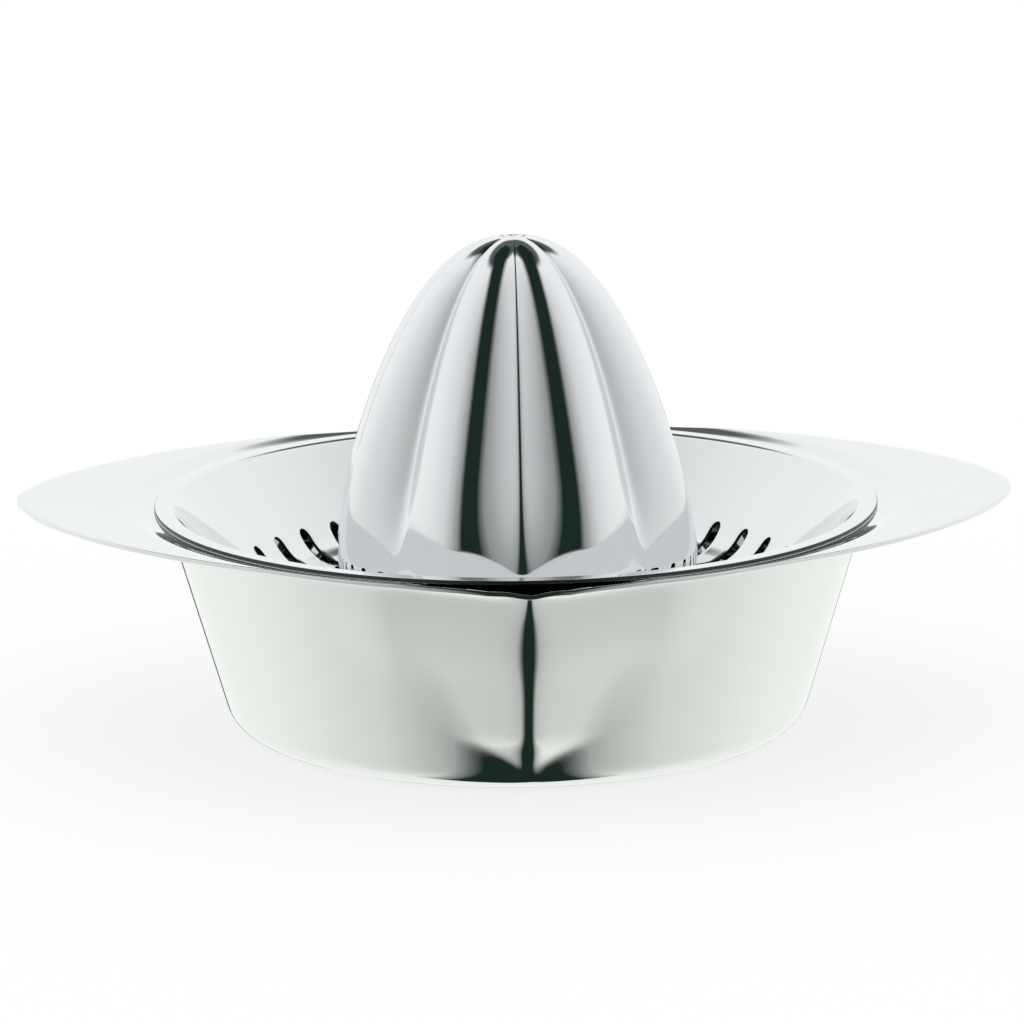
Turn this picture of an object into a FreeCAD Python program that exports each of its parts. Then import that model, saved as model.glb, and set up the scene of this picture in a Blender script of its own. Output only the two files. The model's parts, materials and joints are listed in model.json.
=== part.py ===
"""Hand citrus press in polished stainless sheet: a bowl with a wide eye-shaped brim and a
pouring spout, and a strainer dish with a fluted reamer welded on it that rests in the bowl.

Millimetres. +Z is up and the long wings of the brim lie along X. The spout points to -Y.
The origin is at the middle of the bowl's flat base.
"""
import FreeCAD, Part
import math
import os

# ---- Bowl -------------------------------------------------------------------------------
brim_length = 200.0          # tip to tip of the two wings, along X
brim_width = 151.6           # front to back of the brim, along Y
brim_power = 1.71            # power of the superellipse that the brim is cut to
brim_past_flange = 3.2       # how far the brim's front and back reach past the strainer
brim_rise = 2.35             # how far the wing tips stand above the seat
brim_knee_run = 6.0          # run of the steeper part of the brim, just outside the seat
brim_knee_share = 0.55       # share of the rise that this part makes
bowl_sheet = 0.9             # thickness of the bowl's sheet
wall_past_dish = 1.128       # from the dish's opening out to the wall, under the seat
base_fillet = 6.0            # outer rounding between base and wall
wall_slope = 0.288           # the wall's outward run for each millimetre of height
seat_height = 44.4           # top of the flat seat that the strainer rests on
seat_margin = 0.3            # how far the flat seat reaches past the strainer's flange
brim_bend = 0.8              # inner radius of the bend from wall to brim
knee_bend = 20.0             # radius of the soft bends in the brim

# ---- Pouring spout ----------------------------------------------------------------------
lip_dip = 2.0                # how far the lip falls below the seat at the spout
lip_half_width = 24.0        # from the spout's middle to where the lip starts to fall
keel_fade_height = 10.0      # height at which the spout's keel has run into the wall
keel_round = 3.0             # outer rounding along the keel

# ---- Strainer dish ----------------------------------------------------------------------
dish_sheet = 0.8             # thickness of the strainer's sheet
flange_width = 3.5           # from the dish's opening out to the flange's edge
flange_bend = 1.0            # inner radius of the bend from wall to flange
dish_depth = 20.6            # from the flange's top to the dish floor's top
dish_wall_angle = 51.7       # degrees between the dish wall and the level
dish_fillet = 10.0           # inside rounding between dish wall and floor
dish_hole_ledge = 2.1        # how far the hole's edge stands inside the reamer's opening
slot_count = 40
slot_width = 2.5
slot_inset = 11.5            # from the dish's opening in to the slots' outer ends
slot_length = 15.6           # along the radius, round ends included

# ---- Reamer -----------------------------------------------------------------------------
reamer_sheet = 0.8           # thickness of the reamer's sheet
reamer_radius = 36.6         # at its widest place, just above the foot
reamer_foot_round = 11.2     # the foot turns in on this radius, down to the dish floor
reamer_height = 62.3         # from the widest place to the flat of the tip
reamer_tip_radius = 3.5      # the small flat at the tip
reamer_weld_ring = 2.3       # width of the flat ring by which it is welded on the dish
lobe_count = 8
crest_gain = 0.06            # crests stand this share of the radius outside the round form
valley_loss = 0.14           # valleys lie this share of the radius inside it
flute_run_in = 22.0          # height over which the flutes deepen from the foot up
valley_round = 0.12          # softness of the valley line, 0 is a sharp crease
profile_powers = (1.2, 0.48) # powers of the reamer's egg-shaped profile

# ---- Worked out -------------------------------------------------------------------------
half_length = brim_length / 2
half_width = brim_width / 2
flange_radius = half_width - brim_past_flange
dish_opening_radius = flange_radius - flange_width
slot_outer_radius = dish_opening_radius - slot_inset
slot_inner_radius = slot_outer_radius - slot_length
seat_end_radius = flange_radius + seat_margin
lower_seat = seat_height - bowl_sheet
base_radius = dish_opening_radius + wall_past_dish - wall_slope * lower_seat
flange_top = seat_height + dish_sheet
dish_floor_top = flange_top - dish_depth
reamer_widest_height = dish_floor_top + reamer_foot_round
reamer_opening_radius = reamer_radius - reamer_foot_round - reamer_weld_ring
dish_hole_radius = reamer_opening_radius - dish_hole_ledge
high_above = 2 * (reamer_widest_height + reamer_height)
axis_up = FreeCAD.Vector(0, 0, 1)
centre = FreeCAD.Vector(0, 0, 0)


def wall_radius(height):
    """Outer radius of the bowl's round wall at a height."""
    return base_radius + wall_slope * height


# ---- Profiles in the XZ plane -------------------------------------------------------------

def offset_path(points, radii, distance):
    """Moves a path to its left by a distance. Bend radii shrink or grow with it."""
    lines = []
    for (x0, z0), (x1, z1) in zip(points, points[1:]):
        run = math.hypot(x1 - x0, z1 - z0)
        direction = ((x1 - x0) / run, (z1 - z0) / run)
        shift = (-direction[1] * distance, direction[0] * distance)
        lines.append(((x0 + shift[0], z0 + shift[1]), direction))
    moved = [lines[0][0]]
    new_radii = [0.0]
    for index in range(1, len(lines)):
        (ax, az), (adx, adz) = lines[index - 1]
        (bx, bz), (bdx, bdz) = lines[index]
        turn = adx * bdz - adz * bdx
        along = ((bx - ax) * bdz - (bz - az) * bdx) / turn
        moved.append((ax + adx * along, az + adz * along))
        new_radii.append(radii[index] - distance * math.copysign(1, turn))
    end_x, end_z = points[-1]
    last_direction = lines[-1][1]
    moved.append((end_x - last_direction[1] * distance, end_z + last_direction[0] * distance))
    new_radii.append(0.0)
    return moved, new_radii


def path_edges(points, radii):
    """Edges of a path of straight runs, with its inner corners rounded to the given radii."""
    edges = []
    start = points[0]
    for index in range(1, len(points) - 1):
        before, corner, after = points[index - 1:index + 2]
        run_in = math.hypot(corner[0] - before[0], corner[1] - before[1])
        run_out = math.hypot(after[0] - corner[0], after[1] - corner[1])
        into = ((corner[0] - before[0]) / run_in, (corner[1] - before[1]) / run_in)
        out = ((after[0] - corner[0]) / run_out, (after[1] - corner[1]) / run_out)
        turn = math.acos(into[0] * out[0] + into[1] * out[1])
        reach = radii[index] * math.tan(turn / 2)
        first = (corner[0] - into[0] * reach, corner[1] - into[1] * reach)
        last = (corner[0] + out[0] * reach, corner[1] + out[1] * reach)
        bisector = (out[0] - into[0], out[1] - into[1])
        size = math.hypot(*bisector)
        sagitta = radii[index] * (1 / math.cos(turn / 2) - 1)
        middle = (corner[0] + bisector[0] / size * sagitta, corner[1] + bisector[1] / size * sagitta)
        edges.append(Part.LineSegment(at(start), at(first)).toShape())
        edges.append(Part.Arc(at(first), at(middle), at(last)).toShape())
        start = last
    edges.append(Part.LineSegment(at(start), at(points[-1])).toShape())
    return edges


def at(point):
    """A profile point as a vector in the XZ plane."""
    return FreeCAD.Vector(point[0], 0, point[1])


def spun_sheet(points, radii, thickness):
    """Turns a path into sheet of one thickness, lying to the path's left, spun about Z."""
    upper, upper_radii = offset_path(points, radii, thickness)
    edges = path_edges(points, radii)
    edges.append(Part.LineSegment(at(points[-1]), at(upper[-1])).toShape())
    edges.extend(path_edges(upper, upper_radii))
    edges.append(Part.LineSegment(at(upper[0]), at(points[0])).toShape())
    face = Part.Face(Part.Wire(Part.__sortEdges__(edges)))
    return face.revolve(centre, axis_up, 360)


def space_above(points, radii, top):
    """The solid of revolution between a path and a level above it."""
    edges = path_edges(points, radii)
    high_start = (points[0][0], top)
    high_end = (points[-1][0], top)
    edges.append(Part.LineSegment(at(points[-1]), at(high_end)).toShape())
    edges.append(Part.LineSegment(at(high_end), at(high_start)).toShape())
    edges.append(Part.LineSegment(at(high_start), at(points[0])).toShape())
    face = Part.Face(Part.Wire(Part.__sortEdges__(edges)))
    return face.revolve(centre, axis_up, 360)


def prism(outline, height):
    """A closed outline pushed up by a height."""
    return Part.Face(outline).extrude(FreeCAD.Vector(0, 0, height))


# ---- Juice bowl ---------------------------------------------------------------------------

def brim_outline():
    """The brim's superellipse, one curve through points that its formula gives."""
    steps = 72
    points = []
    for step in range(steps):
        angle = 2 * math.pi * step / steps
        cosine, sine = math.cos(angle), math.sin(angle)
        x = math.copysign(abs(cosine) ** (2 / brim_power), cosine) * half_length
        y = math.copysign(abs(sine) ** (2 / brim_power), sine) * half_width
        points.append(FreeCAD.Vector(x, y, 0))
    curve = Part.BSplineCurve()
    curve.interpolate(Points=points, PeriodicFlag=True)
    return Part.Wire(curve.toShape())


def spout_wedge(inset):
    """The spout's V-shaped body, moved in by a distance from its outside. It stands out most
    at the lip and has run into the round wall at the height where the keel fades."""
    lip_height = seat_height - lip_dip
    half_angle = math.acos(wall_radius(lip_height) / half_width)
    rounded_off = keel_round * (1 / math.cos(half_angle) - 1)
    lip_keel = half_width + rounded_off - inset / math.cos(half_angle)
    fade_keel = wall_radius(keel_fade_height) - inset
    keel_slope = (lip_keel - fade_keel) / (lip_height - keel_fade_height)
    top = seat_height + brim_rise
    sections = []
    for height in (keel_fade_height, top):
        radius = wall_radius(height) - inset
        keel = fade_keel + keel_slope * (height - keel_fade_height)
        side_x = radius * math.sin(half_angle)
        side_y = -radius * math.cos(half_angle)
        corners = [(0, -keel), (side_x, side_y), (0, -radius / 2), (-side_x, side_y), (0, -keel)]
        sections.append(Part.makePolygon([FreeCAD.Vector(x, y, height) for x, y in corners]))
    wedge = Part.makeLoft(sections, True, True)
    keel_edges = [edge for edge in wedge.Edges
                  if all(abs(v.X) < 1e-6 and v.Y < -fade_keel + 1e-3 for v in edge.Vertexes)
                  and abs(edge.Vertexes[0].Z - edge.Vertexes[-1].Z) > 1]
    return wedge.makeFillet(max(keel_round - inset, 0.5), keel_edges)


def lip_notch():
    """What is taken off the top of the spout so that the lip falls towards its middle."""
    brim_top_at_spout = seat_height + brim_rise * brim_knee_share / 2
    corners = [(-lip_half_width, brim_top_at_spout), (0, seat_height - lip_dip),
               (lip_half_width, brim_top_at_spout), (lip_half_width, high_above),
               (-lip_half_width, high_above), (-lip_half_width, brim_top_at_spout)]
    behind_lip = wall_radius(0) / 2
    outline = Part.makePolygon([FreeCAD.Vector(x, -behind_lip, z) for x, z in corners])
    return Part.Face(outline).extrude(FreeCAD.Vector(0, -brim_width, 0))


def juice_bowl():
    """Deep-drawn bowl: base, sloping wall, flat seat, gently rising brim, and the spout."""
    knee_rise = brim_rise * brim_knee_share
    knee_start = seat_end_radius + knee_bend * math.tan(math.atan2(knee_rise, brim_knee_run) / 2)
    points = [(0, 0), (base_radius, 0), (wall_radius(lower_seat), lower_seat),
              (knee_start, lower_seat), (knee_start + brim_knee_run, lower_seat + knee_rise),
              (half_length, lower_seat + brim_rise)]
    radii = [0, base_fillet, brim_bend, knee_bend, knee_bend, 0]
    sheet = spun_sheet(points, radii, bowl_sheet)
    inner_points, inner_radii = offset_path(points, radii, bowl_sheet)
    inside = space_above(inner_points, inner_radii, high_above)
    inner_wedge = spout_wedge(bowl_sheet)
    spout = spout_wedge(0).cut(inner_wedge).cut(inside)
    bowl = sheet.cut(inner_wedge).fuse(spout)
    bowl = bowl.common(prism(brim_outline(), high_above))
    return bowl.cut(lip_notch()).removeSplitter()


# ---- Strainer dish ------------------------------------------------------------------------

def slot_cutters():
    """Radial slots with round ends that pierce the dish floor and the foot of its wall."""
    radius = slot_width / 2
    first, last = slot_inner_radius + radius, slot_outer_radius - radius
    corners = [FreeCAD.Vector(first, -radius, 0), FreeCAD.Vector(last, -radius, 0),
               FreeCAD.Vector(last + radius, 0, 0), FreeCAD.Vector(last, radius, 0),
               FreeCAD.Vector(first, radius, 0), FreeCAD.Vector(first - radius, 0, 0)]
    outline = Part.Wire([Part.LineSegment(corners[0], corners[1]).toShape(),
                         Part.Arc(corners[1], corners[2], corners[3]).toShape(),
                         Part.LineSegment(corners[3], corners[4]).toShape(),
                         Part.Arc(corners[4], corners[5], corners[0]).toShape()])
    cutter = prism(outline, high_above)
    pitch = 360 / slot_count
    cutters = []
    for index in range(slot_count):
        turned = cutter.copy()
        turned.rotate(centre, axis_up, (index + 0.5) * pitch)
        cutters.append(turned)
    return cutters


def strainer_dish():
    """Slotted dish: floor with a central hole, sloping wall, and a flat flange on the seat."""
    lean = math.radians(dish_wall_angle)
    corner_radius = dish_opening_radius - dish_depth / math.tan(lean)
    points = [(dish_hole_radius, dish_floor_top), (corner_radius, dish_floor_top),
              (dish_opening_radius, flange_top), (flange_radius, flange_top)]
    radii = [0, dish_fillet, flange_bend + dish_sheet, 0]
    lower_points, lower_radii = offset_path(points, radii, -dish_sheet)
    dish = spun_sheet(lower_points, lower_radii, dish_sheet)
    return dish.cut(slot_cutters())


# ---- Reamer -------------------------------------------------------------------------------

def reamer_section(height, radius):
    """One closed level curve of the reamer. Its flutes deepen from the widest place up."""
    depth = math.sin(math.pi / 2 * min(max(height / flute_run_in, 0), 1))
    softest = math.hypot(1, valley_round) - valley_round
    steps_per_lobe = 10
    points = []
    for step in range(lobe_count * steps_per_lobe):
        angle = 2 * math.pi * step / (lobe_count * steps_per_lobe) - math.pi / 2
        wave = (math.hypot(math.sin(math.pi * step / steps_per_lobe), valley_round)
                - valley_round) / softest
        gain = depth * (wave * (crest_gain + valley_loss) - valley_loss)
        reach = radius * (1 + gain)
        points.append(FreeCAD.Vector(reach * math.cos(angle), reach * math.sin(angle),
                                     reamer_widest_height + height))
    curve = Part.BSplineCurve()
    curve.interpolate(Points=points, PeriodicFlag=True)
    return Part.Wire(curve.toShape())


def reamer_form(inset):
    """The reamer's closed form, moved in by a distance from its outside."""
    foot_levels, cone_levels = 5, 12
    turn_in = reamer_foot_round - inset
    foot_radius = reamer_radius - reamer_foot_round
    sections = []
    for level in range(foot_levels):
        angle = math.pi / 2 * (1 - level / foot_levels)
        sections.append(reamer_section(-turn_in * math.sin(angle),
                                       foot_radius + turn_in * math.cos(angle)))
    radius = reamer_radius - inset
    height_power, radius_power = profile_powers
    tip_share = (1 - (reamer_tip_radius / radius) ** (1 / radius_power)) ** (1 / height_power)
    for level in range(cone_levels + 1):
        share = math.sin(math.pi / 2 * level / cone_levels)
        height = share * (reamer_height - inset)
        narrowing = (1 - (share * tip_share) ** height_power) ** radius_power
        sections.append(reamer_section(height, radius * narrowing))
    return Part.makeLoft(sections, True, False)


def reamer_cone():
    """Hollow fluted shell, open below, with its foot turned in to a ring for the weld."""
    shell = reamer_form(0).cut(reamer_form(reamer_sheet))
    opening = Part.makeCylinder(reamer_opening_radius, reamer_foot_round,
                                FreeCAD.Vector(0, 0, dish_floor_top - reamer_foot_round / 2))
    return shell.cut(opening)


# ---- Output -------------------------------------------------------------------------------

def only_solid(shape):
    """The shape as one plain solid."""
    if len(shape.Solids) != 1:
        raise ValueError("expected one solid, found %d" % len(shape.Solids))
    return shape.Solids[0]


os.makedirs("parts", exist_ok=True)
for name, build in (("juice_bowl", juice_bowl), ("strainer_dish", strainer_dish),
                    ("reamer_cone", reamer_cone)):
    solid = only_solid(build())
    solid.exportStep("parts/%s.step" % name)
    box = solid.optimalBoundingBox(True, False)
    print("%s valid=%s volume=%.0f x %.2f..%.2f y %.2f..%.2f z %.2f..%.2f" % (
        name, solid.isValid(), solid.Volume, box.XMin, box.XMax, box.YMin, box.YMax,
        box.ZMin, box.ZMax))
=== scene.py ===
"""Looks of a hand citrus press in mirror-polished stainless sheet: juice bowl, slotted strainer
dish and fluted reamer. Sizes are in metres, written as millimetres times MM.
"""

import json
import math

import bpy
import numpy as np
from mathutils import Matrix, Vector


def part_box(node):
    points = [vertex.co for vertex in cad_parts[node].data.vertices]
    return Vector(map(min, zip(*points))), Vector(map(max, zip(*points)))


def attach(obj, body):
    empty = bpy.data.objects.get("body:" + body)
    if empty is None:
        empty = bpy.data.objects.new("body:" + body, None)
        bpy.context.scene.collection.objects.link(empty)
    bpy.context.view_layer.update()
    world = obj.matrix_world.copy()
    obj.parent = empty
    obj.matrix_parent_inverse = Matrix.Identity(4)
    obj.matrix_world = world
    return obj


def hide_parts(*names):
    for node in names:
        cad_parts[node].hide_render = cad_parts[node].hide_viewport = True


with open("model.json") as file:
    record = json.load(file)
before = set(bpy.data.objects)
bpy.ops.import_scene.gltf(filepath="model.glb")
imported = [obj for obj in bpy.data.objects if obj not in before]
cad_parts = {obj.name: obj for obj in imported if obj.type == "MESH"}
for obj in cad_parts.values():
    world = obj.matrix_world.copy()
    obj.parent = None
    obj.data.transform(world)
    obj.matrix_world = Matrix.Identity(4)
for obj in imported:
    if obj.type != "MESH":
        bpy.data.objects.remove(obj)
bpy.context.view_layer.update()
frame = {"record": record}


# ---- Camera ---------------------------------------------------------------------------------
# A long lens just above the worktop and a little to the left of the spout. It is held with a
# slight roll and aimed at the middle of the press.
MM = 0.001
aim_point = Vector((0, 0, 44.8 * MM))
camera_distance = 908.3 * MM
camera_azimuth = math.radians(-1.86)
camera_elevation = math.radians(12.556)
camera_roll = math.radians(-0.572)

away = Vector((math.sin(camera_azimuth) * math.cos(camera_elevation),
               -math.cos(camera_azimuth) * math.cos(camera_elevation),
               math.sin(camera_elevation)))
camera = bpy.data.objects.new("studio_camera", bpy.data.cameras.new("studio_camera"))
camera.data.lens = 158.57
camera.data.sensor_width = 36
camera.data.shift_x = -0.0037
camera.data.shift_y = -0.01338
camera.matrix_world = (Matrix.Translation(aim_point + away * camera_distance)
                       @ (-away).to_track_quat("-Z", "Y").to_matrix().to_4x4()
                       @ Matrix.Rotation(camera_roll, 4, "Z"))
bpy.context.scene.collection.objects.link(camera)
bpy.context.scene.camera = camera


# ---- Juice bowl -----------------------------------------------------------------------------
# Deep-drawn from one sheet of stainless steel: flat base, sloping wall, a seat for the strainer
# and an eye-shaped brim. The front of the wall is pressed out into a two-faced pouring spout.
steel_tint = frame["record"]["materials"][0]["base_color"]
_, bowl_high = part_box("juice_bowl")
bowl_sheet = 0.9 * MM
brim_half_length = bowl_high.x
brim_half_width = bowl_high.y
brim_power = 1.71
brim_rise = 2.35 * MM
knee_start = 73.3 * MM       # where the brim starts to rise, just outside the strainer's flange
knee_end = 79.3 * MM
knee_share = 0.55            # of the brim's rise, made at the knee; the wing rises by the rest
seat_level = 44.4 * MM
base_radius = 57.7 * MM
base_fillet = 6 * MM
wall_slope = 0.288
wall_bend = 2.2 * MM         # run of the bend between wall and seat
full_bend_room = 2.5 * MM    # the bend is shortened where the brim is narrower than this
least_brim = 0.15 * MM
closer_inside = 1.3          # the brim's rings lie closer together near the bend
spout_angle = math.radians(22.6)     # how far each face of the spout is turned from the front
lip_dip = 0.9 * MM                   # the spout's lip is pressed down by this much at its middle
lip_half_width = 24 * MM
lip_softness = 1.2 * MM
crease_width = 0.7 * MM              # where a face of the spout meets the round wall
rim_round = 0.25 * MM                # how far the rounded rim stands past the sheet's edge
rim_room = rim_round * 1.05

# The ridge between the spout's two faces. Its levels are in millimetres.
ridge_start, ridge_end = 3, 13       # it grows out of the round base between these levels
ridge_out = 1.8                      # how far it stands out, in millimetres: a curve in the level
ridge_lean = 0.13
ridge_ease = 0.0009
ridge_sharp = 0.006                  # how far it is rounded, in radians round the axis: sharp at
ridge_round = 0.018                  # the lip, rounder below it and roundest at its belly
ridge_belly = 0.014
sharp_level, round_level = 43, 36
belly_level, belly_spread = 31, 6


def smooth_step(low, high, value):
    """0 at low and 1 at high, eased between them and level outside."""
    share = np.clip((value - low) / (high - low), 0, 1)
    return share * share * (3 - 2 * share)


def soft_max(first, second, width):
    """The larger of two values, with the change-over rounded within a width."""
    overlap = np.maximum(width - np.abs(first - second), 0) / width
    return np.maximum(first, second) + overlap * overlap * width / 4


def brim_reach(angle):
    """Distance from the axis to the brim's edge, in a direction."""
    cosine, sine = np.abs(np.cos(angle)), np.abs(np.sin(angle))
    return ((cosine / brim_half_length) ** brim_power
            + (sine / brim_half_width) ** brim_power) ** (-1 / brim_power)


def brim_level(radius):
    """Height of the middle of the sheet on the seat and the brim."""
    rise = knee_share * brim_rise * smooth_step(knee_start, knee_end, radius)
    outer = np.clip((radius - knee_end) / (brim_half_length - knee_end), 0, 1)
    return seat_level - bowl_sheet / 2 + rise + (1 - knee_share) * brim_rise * outer


def wall_reach(from_front, height):
    """Distance from the axis to the wall's outside. from_front is the angle from the spout."""
    round_wall = base_radius + wall_slope * height
    level = height / MM
    out_of_base = smooth_step(ridge_start, ridge_end, level)
    ridge = round_wall + (ridge_out + ridge_lean * level - ridge_ease * level ** 2) * out_of_base * MM
    belly = np.exp(-((level - belly_level) / belly_spread) ** 2)
    below_lip = smooth_step(sharp_level, round_level, level)
    softness = ridge_sharp + ridge_round * below_lip + ridge_belly * belly
    turned = np.sqrt(from_front ** 2 + softness ** 2)
    beside = np.clip(turned - spout_angle, -spout_angle, 1)
    nearest = ridge * np.cos(softness - spout_angle)
    face = np.where(beside < 0, nearest / np.cos(beside), nearest * (2 - 1 / np.cos(beside)))
    return soft_max(round_wall, face, crease_width)


def shell_mesh(name, middle, thickness, rim_depth):
    """A closed shell of one thickness round a grid of points, rings from the axis outwards. The
    outer rim is rounded, and the inner end is closed with a point on the axis."""
    along = np.gradient(middle, axis=0)
    padded = np.concatenate([middle[:, -1:], middle, middle[:, :1]], axis=1)
    around = (padded[:, 2:] - padded[:, :-2]) / 2
    normal = np.cross(along, around)
    normal /= np.linalg.norm(normal, axis=2, keepdims=True)
    outward = along[-1] / np.linalg.norm(along[-1], axis=1, keepdims=True)
    rings = list(middle + normal * thickness / 2)
    rim_steps = 4
    for step in range(1, rim_steps):
        angle = math.pi / 2 - math.pi * step / rim_steps
        rings.append(middle[-1] + normal[-1] * math.sin(angle) * thickness / 2
                     + outward * math.cos(angle) * rim_depth)
    rings.extend(ring for ring in (middle - normal * thickness / 2)[::-1])
    count = middle.shape[1]
    points = np.concatenate(rings)
    faces = []
    for ring in range(len(rings) - 1):
        for step in range(count):
            following = (step + 1) % count
            faces.append((ring * count + step, (ring + 1) * count + step,
                          (ring + 1) * count + following, ring * count + following))
    last = (len(rings) - 1) * count
    top_centre, low_centre = len(points), len(points) + 1
    points = np.concatenate([points, [rings[0].mean(axis=0)], [rings[-1].mean(axis=0)]])
    for step in range(count):
        following = (step + 1) % count
        faces.append((top_centre, step, following))
        faces.append((low_centre, last + following, last + step))
    mesh = bpy.data.meshes.new(name)
    mesh.from_pydata(points.tolist(), [], faces)
    mesh.shade_smooth()
    mesh.update()
    return mesh


def bowl_directions():
    """Directions round the bowl, closer together at the spout and at the brim's two tips."""
    directions, fine_steps = 440, 7200
    at_ridge, ridge_spread = 9, 0.07       # how much closer, and over how many radians
    at_spout, spout_spread = 2, 0.3
    at_tips, tip_spread = 2.5, 0.12
    fine = np.linspace(-math.pi, math.pi, fine_steps + 1)[:-1]
    from_tip = np.minimum(np.abs(fine - math.pi / 2), np.abs(fine + math.pi / 2))
    density = (1 + at_ridge * np.exp(-(fine / ridge_spread) ** 2)
               + at_spout * np.exp(-(fine / spout_spread) ** 2)
               + at_tips * np.exp(-(from_tip / tip_spread) ** 2))
    total = np.cumsum(density)
    return np.interp(np.arange(directions) / directions, (total - total[0]) / total[-1], fine)


def bowl_middle(from_front):
    """The middle of the bowl's sheet: rings from near the axis out to the brim's edge."""
    half = bowl_sheet / 2
    angle = from_front - math.pi / 2
    edge = brim_reach(angle) - rim_room
    sideways = edge * np.sin(from_front)
    dip = lip_dip * np.maximum(0, 1 - np.sqrt(sideways ** 2 + lip_softness ** 2) / lip_half_width)
    lean = math.atan(wall_slope)
    across = half / math.cos(lean)
    fillet = base_fillet - half
    fillet_turn = math.pi / 2 - lean
    fillet_height = half + fillet * (1 - math.cos(fillet_turn))
    foot = base_radius + wall_slope * fillet_height - across
    flat_end = foot - fillet * math.sin(fillet_turn)
    bulge_at_foot = wall_reach(from_front, fillet_height) - base_radius - wall_slope * fillet_height
    fillet_rings, wall_rings, bend_rings, brim_rings = 9, 36, 8, 24
    level_ring = 0 * edge
    rings = []
    for share in (0.02, 0.2, 0.4, 0.6, 0.8, 0.93):
        rings.append((flat_end * share + level_ring, half + level_ring))
    for step in range(fillet_rings):
        share = step / fillet_rings
        turn = fillet_turn * step / fillet_rings
        rings.append((flat_end + fillet * math.sin(turn) + bulge_at_foot * share ** 2,
                      half + fillet * (1 - math.cos(turn)) + level_ring))
    wall_top = seat_level - bowl_sheet / 2 - wall_bend - dip
    for step in range(wall_rings + 1):
        height = fillet_height + (wall_top - fillet_height) * step / wall_rings
        rings.append((wall_reach(from_front, height) - across, height))
    corner_height = seat_level - half - dip
    corner = wall_reach(from_front, corner_height) - across
    start, start_height = rings[-1]
    least_share, least_turn = 0.12, 0.55      # of the bend, where the lip leaves no room for it
    shorter = np.clip((edge - corner) / full_bend_room, least_share, 1)
    reach = wall_bend * shorter
    part = least_turn + (1 - least_turn) * smooth_step(least_share, 1, shorter)
    for step in range(1, bend_rings + 1):
        share = part * step / bend_rings
        rings.append(((1 - share) ** 2 * start + 2 * share * (1 - share) * corner
                      + share ** 2 * (corner + reach),
                      (1 - share) ** 2 * start_height + 2 * share * (1 - share) * corner_height
                      + share ** 2 * corner_height))
    bend_end, bend_height = rings[-1]
    edge = np.maximum(edge, bend_end + least_brim)
    for step in range(1, brim_rings + 1):
        share = (step / brim_rings) ** closer_inside
        radius = bend_end + (edge - bend_end) * share
        rings.append((radius, bend_height + brim_level(radius) - brim_level(bend_end)))
    return np.array([np.stack([radius * np.cos(angle), radius * np.sin(angle), height], axis=1)
                     for radius, height in rings])


class Value:
    """One socket of a node tree. Arithmetic on it adds Math nodes."""

    def __init__(self, tree, socket):
        self.tree = tree
        self.socket = socket

    def math(self, operation, *values):
        node = self.tree.nodes.new("ShaderNodeMath")
        node.operation = operation
        for slot, value in zip(node.inputs, (self, *values)):
            if isinstance(value, Value):
                self.tree.links.new(value.socket, slot)
            else:
                slot.default_value = value
        return Value(self.tree, node.outputs[0])

    def __add__(self, other):
        return self.math("ADD", other)

    def __sub__(self, other):
        return self.math("SUBTRACT", other)

    def __mul__(self, other):
        return self.math("MULTIPLY", other)

    def __truediv__(self, other):
        return self.math("DIVIDE", other)

    def __pow__(self, other):
        return self.math("POWER", other)

    def __neg__(self):
        return self.math("MULTIPLY", -1)

    def __rsub__(self, other):
        return (-self) + other

    def __rtruediv__(self, other):
        return (self ** -1) * other

    __radd__ = __add__
    __rmul__ = __mul__


def node(tree, kind, settings=None, **inputs):
    """A new node: settings are set first, then values or links go to its named inputs."""
    made = tree.nodes.new(kind)
    for name, value in (settings or {}).items():
        setattr(made, name, value)
    for name, value in inputs.items():
        slot = made.inputs[name.replace("_", " ")]
        if isinstance(value, Value):
            tree.links.new(value.socket, slot)
        else:
            slot.default_value = value
    return made


def polished_steel(name, tint, roughness, haze):
    """Mirror-polished stainless steel: patches of polishing haze, each a shade lighter or darker,
    and a fine scratch grain that only shows up close."""
    material = bpy.data.materials.new(name)
    material.use_nodes = True
    tree = material.node_tree
    shader = tree.nodes["Principled BSDF"]
    place = Value(tree, node(tree, "ShaderNodeTexCoord").outputs["Object"])
    patches_per_metre, scratches_per_metre = 38, (900, 900, 5200)
    shade_change, scratch_haze = 0.015, 0.25
    scratch_strength, scratch_depth = 0.02, 0.01 * MM
    patches = node(tree, "ShaderNodeTexNoise", Vector=place, Scale=patches_per_metre, Detail=3,
                   Roughness=0.55)
    patch = Value(tree, patches.outputs["Fac"])
    stretched = node(tree, "ShaderNodeMapping", {"vector_type": "POINT"}, Vector=place)
    stretched.inputs["Scale"].default_value = scratches_per_metre
    grain = node(tree, "ShaderNodeTexNoise", Vector=Value(tree, stretched.outputs[0]), Scale=1,
                 Detail=2)
    fine = Value(tree, grain.outputs["Fac"])
    rough = roughness + haze * (patch - 0.5) + scratch_haze * haze * (fine - 0.5)
    tree.links.new(rough.socket, shader.inputs["Roughness"])
    shade = node(tree, "ShaderNodeMix", {"data_type": "RGBA"}, Factor=patch)
    shade.inputs["A"].default_value = (*(part * (1 - shade_change) for part in tint), 1)
    shade.inputs["B"].default_value = (*(part * (1 + shade_change) for part in tint), 1)
    tree.links.new(shade.outputs["Result"], shader.inputs["Base Color"])
    bump = node(tree, "ShaderNodeBump", Height=fine, Strength=scratch_strength,
                Distance=scratch_depth)
    tree.links.new(bump.outputs[0], shader.inputs["Normal"])
    shader.inputs["Metallic"].default_value = 1
    return material


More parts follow.
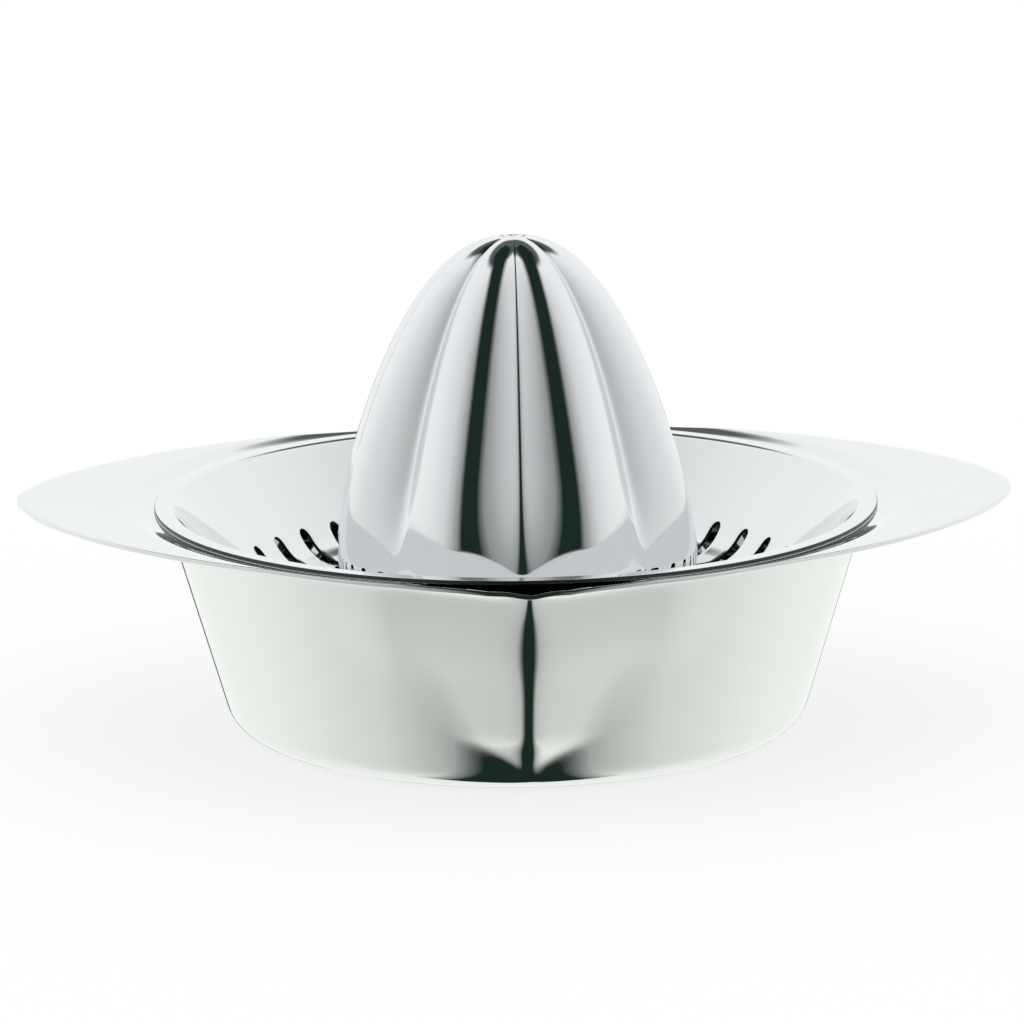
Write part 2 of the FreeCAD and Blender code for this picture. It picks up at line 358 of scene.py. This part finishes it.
bowl_finish = polished_steel("bowl_mirror_polish", steel_tint, 0.035, 0.02)
bowl = bpy.data.objects.new("juice_bowl_polished",
                            shell_mesh("juice_bowl_polished", bowl_middle(bowl_directions()),
                                       bowl_sheet, rim_round))
bpy.context.scene.collection.objects.link(bowl)
bowl.data.materials.append(bowl_finish)
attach(bowl, "bowl")
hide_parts("juice_bowl")


# ---- Strainer dish --------------------------------------------------------------------------
# Pressed from thinner sheet: a flat flange that lies on the bowl's seat, a sloping wall, and a
# floor pierced by a ring of radial slots. One sector is meshed and repeated round the axis.
dish_low, dish_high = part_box("strainer_dish")
dish_sheet = 0.8 * MM
flange_radius = dish_high.x
flange_top = dish_high.z
floor_top = dish_low.z + dish_sheet
opening_radius = 69.1 * MM
dish_fillet = 10 * MM
flange_bend = 1.8 * MM
hole_radius = 21 * MM
wall_lean = math.radians(51.7)
slot_count = 40
slot_width = 2.5 * MM
slot_inner, slot_outer = 42 * MM, 57.6 * MM
patch_inner, patch_outer = 41 * MM, 58.8 * MM      # the ring of mesh that holds the slots
sheared_radius = 0.25 * MM


def dish_level(radius):
    """Height of the dish's upper face at a distance from the axis."""
    corner = opening_radius - (flange_top - floor_top) / math.tan(wall_lean)
    first_half = math.tan(wall_lean / 2) * dish_fillet
    second_half = math.tan(wall_lean / 2) * flange_bend
    if radius <= corner - first_half:
        return floor_top
    if radius < corner + first_half * math.cos(wall_lean):
        run = radius - (corner - first_half)
        return floor_top + dish_fillet - math.sqrt(dish_fillet ** 2 - run ** 2)
    if radius < opening_radius - second_half * math.cos(wall_lean):
        return floor_top + (radius - corner) * math.tan(wall_lean)
    if radius < opening_radius + second_half:
        run = opening_radius + second_half - radius
        return flange_top - flange_bend + math.sqrt(flange_bend ** 2 - run ** 2)
    return flange_top


def dish_sector():
    """One sector of the dish's upper face, pierced by its slot."""
    half_turn = math.pi / slot_count
    across_steps, slot_steps, layers = 6, 16, 3
    floor_rings, wall_rings, bend_rings, flange_rings = 8, 8, 7, 4
    points, faces = [], []

    def place(radius, angle):
        points.append((radius * math.cos(angle), radius * math.sin(angle), dish_level(radius)))
        return len(points) - 1

    def ring(radius):
        return [place(radius, half_turn * (2 * step / across_steps - 1))
                for step in range(across_steps + 1)]

    def strip(radii):
        rows = [ring(radius) for radius in radii]
        for lower, upper in zip(rows, rows[1:]):
            for step in range(across_steps):
                faces.append((lower[step], upper[step], upper[step + 1], lower[step + 1]))
        return rows

    inner = strip([hole_radius + (patch_inner - hole_radius) * step / floor_rings
                   for step in range(floor_rings + 1)])
    corner_run = math.tan(wall_lean / 2) * flange_bend
    bend_start = opening_radius - corner_run * math.cos(wall_lean)
    bend_end = opening_radius + corner_run
    outer_radii = [patch_outer + (bend_start - patch_outer) * step / wall_rings
                   for step in range(wall_rings + 1)]
    outer_radii += [bend_start + (bend_end - bend_start) * step / bend_rings
                    for step in range(1, bend_rings + 1)]
    outer_radii += [bend_end + (flange_radius - bend_end) * step / flange_rings
                    for step in range(1, flange_rings + 1)]
    outer = strip(outer_radii)
    side_high = [place(patch_inner + (patch_outer - patch_inner) * step / slot_steps, half_turn)
                 for step in range(1, slot_steps)]
    side_low = [place(patch_inner + (patch_outer - patch_inner) * step / slot_steps, -half_turn)
                for step in range(1, slot_steps)]
    loop = inner[-1] + side_high + outer[0][::-1] + side_low[::-1]
    radius = slot_width / 2
    hole = []
    for step in range(across_steps + 1):
        angle = math.pi * (1.5 - step / across_steps)
        hole.append((slot_inner + radius + radius * math.cos(angle), radius * math.sin(angle)))
    straight = [slot_inner + radius + (slot_outer - slot_inner - slot_width) * step / slot_steps
                for step in range(1, slot_steps)]
    hole += [(x, radius) for x in straight]
    for step in range(across_steps + 1):
        angle = math.pi * (0.5 - step / across_steps)
        hole.append((slot_outer - radius + radius * math.cos(angle), radius * math.sin(angle)))
    hole += [(x, -radius) for x in reversed(straight)]
    rows = [loop]
    for layer in range(1, layers + 1):
        share = layer / layers
        row = []
        for index, (x, y) in enumerate(hole):
            far_x, far_y, _ = points[loop[index]]
            here_x, here_y = far_x + (x - far_x) * share, far_y + (y - far_y) * share
            points.append((here_x, here_y, dish_level(math.hypot(here_x, here_y))))
            row.append(len(points) - 1)
        rows.append(row)
    count = len(loop)
    for lower, upper in zip(rows, rows[1:]):
        for step in range(count):
            following = (step + 1) % count
            faces.append((lower[step], upper[step], upper[following], lower[following]))
    mesh = bpy.data.meshes.new("dish_sector")
    mesh.from_pydata(points, [], faces)
    mesh.update()
    return mesh


def ring_tree(material):
    """Geometry nodes that repeat a sector round the axis and weld the copies together."""
    tree = bpy.data.node_groups.new("sectors_round_axis", "GeometryNodeTree")
    face = tree.interface
    face.new_socket("Geometry", in_out="INPUT", socket_type="NodeSocketGeometry")
    face.new_socket("Sectors", in_out="INPUT", socket_type="NodeSocketInt")
    face.new_socket("First Angle", in_out="INPUT", socket_type="NodeSocketFloat")
    face.new_socket("Weld Distance", in_out="INPUT", socket_type="NodeSocketFloat")
    face.new_socket("Geometry", in_out="OUTPUT", socket_type="NodeSocketGeometry")
    given = tree.nodes.new("NodeGroupInput")
    sector, sectors, first, weld = (Value(tree, given.outputs[name]) for name in
                                    ("Geometry", "Sectors", "First Angle", "Weld Distance"))
    spots = node(tree, "GeometryNodeMeshLine", {"mode": "OFFSET"}, Count=sectors)
    spots.inputs["Offset"].default_value = (0, 0, 0)
    index = Value(tree, node(tree, "GeometryNodeInputIndex").outputs[0])
    turn = node(tree, "ShaderNodeCombineXYZ", Z=first + index * (2 * math.pi) / sectors)
    copies = node(tree, "GeometryNodeInstanceOnPoints", Points=Value(tree, spots.outputs[0]),
                  Instance=sector, Rotation=Value(tree, turn.outputs[0]))
    whole = node(tree, "GeometryNodeRealizeInstances", Geometry=Value(tree, copies.outputs[0]))
    welded = node(tree, "GeometryNodeMergeByDistance", Geometry=Value(tree, whole.outputs[0]),
                  Distance=weld)
    painted = node(tree, "GeometryNodeSetMaterial", Geometry=Value(tree, welded.outputs[0]),
                   Material=material)
    tree.links.new(painted.outputs[0], tree.nodes.new("NodeGroupOutput").inputs[0])
    return tree


def grown_by_nodes(name, mesh, tree, values):
    """The plain mesh that a geometry node tree makes of a mesh, with its named inputs set."""
    seed = bpy.data.objects.new(name, mesh)
    bpy.context.scene.collection.objects.link(seed)
    modifier = seed.modifiers.new("nodes", "NODES")
    modifier.node_group = tree
    for item in tree.interface.items_tree:
        if item.in_out == "INPUT" and item.name in values:
            modifier[item.identifier] = values[item.name]
    graph = bpy.context.evaluated_depsgraph_get()
    result = bpy.data.meshes.new_from_object(seed.evaluated_get(graph))
    seed.modifiers.remove(modifier)
    seed.data = result
    result.name = name
    result.shade_smooth()
    return seed


def thicken(piece, thickness, side, rim_material):
    """Gives a surface its sheet thickness. side is 1 above the surface and -1 below it."""
    solid = piece.modifiers.new("sheet", "SOLIDIFY")
    solid.thickness = thickness
    solid.offset = side
    solid.use_quality_normals = True
    solid.material_offset_rim = rim_material
    edge = piece.modifiers.new("edge", "BEVEL")
    edge.width = sheared_radius
    edge.segments = 3
    edge.limit_method = "ANGLE"
    edge.angle_limit = math.radians(60)
    graph = bpy.context.evaluated_depsgraph_get()
    result = bpy.data.meshes.new_from_object(piece.evaluated_get(graph))
    piece.modifiers.clear()
    piece.data = result
    result.shade_smooth()


dish_finish = polished_steel("dish_mirror_polish", steel_tint, 0.045, 0.025)
# The dish's cut edges, at the flange and round the slots, are rough like sheared steel but painted
# near-black: painted shade for the dark gap between the flange and the bowl's seat.
edge_painted_shade = polished_steel("dish_edge_painted_shade", (0.06, 0.065, 0.063), 0.35, 0.10)
dish = grown_by_nodes("strainer_dish_polished", dish_sector(), ring_tree(dish_finish),
                      {"Sectors": slot_count, "First Angle": math.pi / slot_count,
                       "Weld Distance": 0.02 * MM})
dish.data.materials.append(edge_painted_shade)
# The rims made here take the near-black painted-shade edge material.
thicken(dish, dish_sheet, -1, 1)
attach(dish, "strainer")
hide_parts("strainer_dish")


# ---- Reamer ---------------------------------------------------------------------------------
# A hollow cone pressed with eight flutes that meet in a small dimpled cap at the tip. Its foot
# turns in and is welded on the dish floor. Nodes shape it from a flat grid, by rule.
reamer_low, reamer_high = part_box("reamer_cone")
reamer_sheet = 0.8 * MM


def reamer_tree(material):
    """Geometry nodes that roll a grid into the reamer: one way round the axis, the other way
    from the foot's weld ring up to the tip."""
    tree = bpy.data.node_groups.new("fluted_reamer", "GeometryNodeTree")
    face = tree.interface
    names = ("Foot Level", "Foot Round", "Foot Share", "Widest Radius", "Rise", "Height Power",
             "Radius Power", "Tip Radius", "Cap Share", "Dimple Depth", "Lobes", "Crest Gain",
             "Valley Loss", "Flute Run", "Foot Depth", "Crest Round Low", "Crest Round High",
             "Valley Round", "Valley Round Low", "Weld Distance")
    face.new_socket("Geometry", in_out="INPUT", socket_type="NodeSocketGeometry")
    for name in names:
        face.new_socket(name, in_out="INPUT", socket_type="NodeSocketFloat")
    face.new_socket("Geometry", in_out="OUTPUT", socket_type="NodeSocketGeometry")
    given = tree.nodes.new("NodeGroupInput")
    size = {name: Value(tree, given.outputs[name]) for name in names}
    here = node(tree, "ShaderNodeSeparateXYZ",
                Vector=Value(tree, node(tree, "GeometryNodeInputPosition").outputs[0]))
    turn = Value(tree, here.outputs["X"]) * (2 * math.pi)
    path = Value(tree, here.outputs["Y"])
    foot_share = size["Foot Share"]
    in_foot = (path / foot_share).math("MINIMUM", 1)
    above = ((path - foot_share) / (1 - foot_share - size["Cap Share"])).math("MAXIMUM", 0).math(
        "MINIMUM", 1)
    foot_turn = in_foot * (math.pi / 2)
    foot_radius = size["Widest Radius"] - size["Foot Round"] * (1 - foot_turn.math("SINE"))
    foot_height = size["Foot Round"] * (1 - foot_turn.math("COSINE"))
    tip_power = 1 / size["Radius Power"]
    tip_share = (1 - (size["Tip Radius"] / size["Widest Radius"]) ** tip_power) ** (
        1 / size["Height Power"])
    climb = (above * (math.pi / 2)).math("SINE")
    narrowing = (1 - (climb * tip_share) ** size["Height Power"]) ** size["Radius Power"]
    height = climb * size["Rise"]
    round_radius = foot_radius * narrowing
    run_in = ((height / size["Flute Run"]).math("MINIMUM", 1) * (math.pi / 2)).math("SINE")
    foot_depth = size["Foot Depth"]
    deep = (foot_depth + run_in * (1 - foot_depth)) * foot_turn.math("SINE")
    lobe_turn = (2 * math.pi) / size["Lobes"]
    from_valley = (turn.math("PINGPONG", lobe_turn / 2)) / (lobe_turn / 2)
    rounder_high = size["Crest Round High"] - size["Crest Round Low"]
    crest_round = size["Crest Round Low"] + climb ** 1.5 * rounder_high
    sharper_high = size["Valley Round"] - size["Valley Round Low"]
    valley_round = size["Valley Round Low"] + deep * sharper_high

    def softened(share, softness):
        """Runs from 0 to 1 as a share does, but starts level, as a hyperbola does."""
        full = (softness * softness + 1).math("SQRT") - softness
        return ((share * share + softness * softness).math("SQRT") - softness) / full

    crest_shape = 1 - softened(1 - from_valley, crest_round)
    wave = softened(crest_shape, valley_round)
    gain = deep * (wave * (size["Crest Gain"] + size["Valley Loss"]) - size["Valley Loss"])
    to_middle = ((path - (1 - size["Cap Share"])) / size["Cap Share"]).math("MAXIMUM", 0)
    reach = round_radius * (1 + gain) * (1 - to_middle)
    aim = turn - math.pi / 2
    sunk = size["Dimple Depth"] * (1 - (1 - to_middle) ** 2)
    level = size["Foot Level"] + foot_height + height - sunk
    point = node(tree, "ShaderNodeCombineXYZ", X=reach * aim.math("COSINE"),
                 Y=reach * aim.math("SINE"), Z=level)
    moved = node(tree, "GeometryNodeSetPosition", Geometry=Value(tree, given.outputs["Geometry"]),
                 Position=Value(tree, point.outputs[0]))
    whole = node(tree, "GeometryNodeRealizeInstances", Geometry=Value(tree, moved.outputs[0]))
    welded = node(tree, "GeometryNodeMergeByDistance", Geometry=Value(tree, whole.outputs[0]),
                  Distance=size["Weld Distance"])
    painted = node(tree, "GeometryNodeSetMaterial", Geometry=Value(tree, welded.outputs[0]),
                   Material=material)
    tree.links.new(painted.outputs[0], tree.nodes.new("NodeGroupOutput").inputs[0])
    return tree


def flat_grid(name, across, along):
    """A unit grid of quads: x runs across from 0 to 1, y along from 0 to 1."""
    points = [(column / across, row / along, 0)
              for row in range(along + 1) for column in range(across + 1)]
    faces = []
    for row in range(along):
        for column in range(across):
            first = row * (across + 1) + column
            faces.append((first, first + 1, first + across + 2, first + across + 1))
    mesh = bpy.data.meshes.new(name)
    mesh.from_pydata(points, [], faces)
    mesh.update()
    return mesh


reamer_finish = polished_steel("reamer_mirror_polish", (0.80, 0.81, 0.82), 0.035, 0.02)
foot_round = 11.2 * MM
steps_round, steps_up = 384, 110
reamer = grown_by_nodes(
    "reamer_cone_polished", flat_grid("reamer_grid", steps_round, steps_up),
    reamer_tree(reamer_finish),
    {"Foot Level": reamer_low.z, "Foot Round": foot_round, "Foot Share": 0.16,
     "Widest Radius": 36.6 * MM, "Rise": reamer_high.z - reamer_low.z - foot_round,
     "Height Power": 1.2, "Radius Power": 0.465, "Tip Radius": 3.5 * MM, "Cap Share": 0.04,
     "Dimple Depth": 0.5 * MM, "Lobes": 8.0, "Crest Gain": 0.066, "Valley Loss": 0.08,
     "Flute Run": 22 * MM, "Foot Depth": 0.55, "Crest Round Low": 0.25, "Crest Round High": 0.9,
     "Valley Round": 0.06, "Valley Round Low": 0.3, "Weld Distance": 0.01 * MM})
thicken(reamer, reamer_sheet, -1, 0)
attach(reamer, "strainer")
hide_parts("reamer_cone")


# ---- Studio ---------------------------------------------------------------------------------
# A pale worktop that runs out of sight, inside a white light tent. The tent fades towards its
# open front, where the dark room behind the camera shows as a narrow strip in the metal.
floor_radius, floor_sides = 6.0, 96
floor_turns = [2 * math.pi * step / floor_sides for step in range(floor_sides)]
floor_mesh = bpy.data.meshes.new("worktop")
floor_mesh.from_pydata([(floor_radius * math.cos(turn), floor_radius * math.sin(turn), 0)
                        for turn in floor_turns], [], [tuple(range(floor_sides))])
worktop = bpy.data.objects.new("worktop", floor_mesh)
bpy.context.scene.collection.objects.link(worktop)
worktop.visible_glossy = False

worktop_paint = bpy.data.materials.new("worktop_matt_white")
worktop_paint.use_nodes = True
floor_mesh.materials.append(worktop_paint)
tree = worktop_paint.node_tree
matt_white = tree.nodes["Principled BSDF"]
matt_white.inputs["Base Color"].default_value = (0.9, 0.9, 0.9, 1)
matt_white.inputs["Roughness"].default_value = 0.9
matt_white.inputs["Specular IOR Level"].default_value = 0
shadow_hidden = 0.75       # how much of the press's shadow the white light in the worktop hides
even_light = node(tree, "ShaderNodeEmission", Strength=1.0)
even_light.inputs["Color"].default_value = (1, 1, 1, 1)
to_camera = Value(tree, node(tree, "ShaderNodeLightPath").outputs["Is Camera Ray"])
worktop_mix = node(tree, "ShaderNodeMixShader", Fac=to_camera * shadow_hidden)
tree.links.new(matt_white.outputs[0], worktop_mix.inputs[1])
tree.links.new(even_light.outputs[0], worktop_mix.inputs[2])
tree.links.new(worktop_mix.outputs[0], tree.nodes["Material Output"].inputs["Surface"])


def limited(value):
    """A value kept between 0 and 1."""
    return value.math("MAXIMUM", 0).math("MINIMUM", 1)


degrees = 180 / math.pi
tent = bpy.data.worlds.new("light_tent")
bpy.context.scene.world = tent
tent.use_nodes = True
tree = tent.node_tree
tree.nodes.clear()
towards = node(tree, "ShaderNodeSeparateXYZ",
               Vector=Value(tree, node(tree, "ShaderNodeTexCoord").outputs["Generated"]))
sideways = Value(tree, towards.outputs["X"]).math("ABSOLUTE")
front = -Value(tree, towards.outputs["Y"])
up = Value(tree, towards.outputs["Z"])

# The open gap runs from under the worktop up the front and over. Its two ends, and the widths
# over which they fade, are angles in degrees from straight ahead.
end_below, end_above = 96, 118
fade_below, fade_above = 12, 22
climbed = up.math("ABSOLUTE").math("ARCTAN2", front) * degrees
overhead = up.math("GREATER_THAN", 0)
gap_end = end_below + (end_above - end_below) * overhead
end_fade = fade_below + (fade_above - fade_below) * overhead
past_gap = limited((climbed - gap_end) / end_fade)
depth = (front * front + up * up).math("SQRT") * (1 - 2 * past_gap)
gap_half_width, gap_fade = 12, 9
in_tent = limited((sideways.math("ARCTAN2", depth) * degrees - gap_half_width) / gap_fade)

# The cloth is brightest behind and to the sides. Each stop is an angle from the front, in
# degrees, and a brightness.
tent_stops = ((0, 0.24), (20, 0.29), (29, 0.40), (40, 0.56), (51, 0.67), (63, 0.78),
              (76, 0.84), (90, 0.90), (105, 0.97), (120, 1.02), (180, 1.04))
brightest = 1.1
ramp = node(tree, "ShaderNodeValToRGB", Fac=sideways.math("ARCTAN2", front) * degrees / 180)
ramp.color_ramp.interpolation = "LINEAR"
while len(ramp.color_ramp.elements) < len(tent_stops):
    ramp.color_ramp.elements.new(1)
for element, (angle, bright) in zip(ramp.color_ramp.elements, tent_stops):
    element.position = angle / 180
    element.color = (bright / brightest, bright / brightest, bright / brightest, 1)

# A doorway low behind and a vent high behind are dark too. Only what the metal mirrors at first
# hand shows the gap and the vent in full.
rays = node(tree, "ShaderNodeLightPath")
second_hand = Value(tree, rays.outputs["Glossy Depth"]).math("GREATER_THAN", 1.5)
second_hand_light, vent_darkness = 0.85, 0.9
in_tent = in_tent.math("MAXIMUM", second_hand * second_hand_light)
doorway_drop, vent_rise = math.radians(12.5), math.radians(60)
doorway_edge, doorway_fade = math.radians(13), math.radians(9)
to_doorway = up * -math.sin(doorway_drop) - front * math.cos(doorway_drop)
doorway = limited((to_doorway - math.cos(doorway_edge)) / (1 - math.cos(doorway_fade)))
dark_vent, clear_of_vent = math.cos(math.radians(22)), math.cos(math.radians(28))
to_vent = up * math.sin(vent_rise) - front * math.cos(vent_rise)
vent = limited((to_vent - clear_of_vent) / (dark_vent - clear_of_vent)) * (1 - second_hand)
bright = (Value(tree, ramp.outputs[0]) * brightest * in_tent * (1 - doorway)
          * (1 - vent_darkness * vent))

# The cloth is a little blue overhead and a little green near the worktop, and the room is dark
# green.
from_table = limited((0.15 - up) / 0.3)
white_cloth = node(tree, "ShaderNodeMix", {"data_type": "RGBA"}, Factor=from_table)
white_cloth.inputs["A"].default_value = (0.965, 0.990, 1.0, 1)
white_cloth.inputs["B"].default_value = (0.965, 1.0, 0.955, 1)
cloth = node(tree, "ShaderNodeMix", {"data_type": "RGBA", "clamp_factor": False}, Factor=bright)
cloth.inputs["A"].default_value = (0.013, 0.028, 0.020, 1)
tree.links.new(white_cloth.outputs["Result"], cloth.inputs["B"])

mirrored = node(tree, "ShaderNodeBackground", Color=Value(tree, cloth.outputs["Result"]))
lamp_light = node(tree, "ShaderNodeBackground", Strength=1.12)
lamp_light.inputs["Color"].default_value = (1, 1, 1, 1)
open_white = node(tree, "ShaderNodeBackground", Strength=1.0)
open_white.inputs["Color"].default_value = (1, 1, 1, 1)
seen = node(tree, "ShaderNodeMixShader", Fac=Value(tree, rays.outputs["Is Glossy Ray"]))
tree.links.new(lamp_light.outputs[0], seen.inputs[1])
tree.links.new(mirrored.outputs[0], seen.inputs[2])
straight_on = Value(tree, rays.outputs["Is Camera Ray"]).math(
    "MAXIMUM", Value(tree, rays.outputs["Is Transmission Ray"]))
whole = node(tree, "ShaderNodeMixShader", Fac=straight_on)
tree.links.new(seen.outputs[0], whole.inputs[1])
tree.links.new(open_white.outputs[0], whole.inputs[2])
tree.links.new(whole.outputs[0], tree.nodes.new("ShaderNodeOutputWorld").inputs[0])

bpy.context.scene.view_settings.view_transform = "Standard"
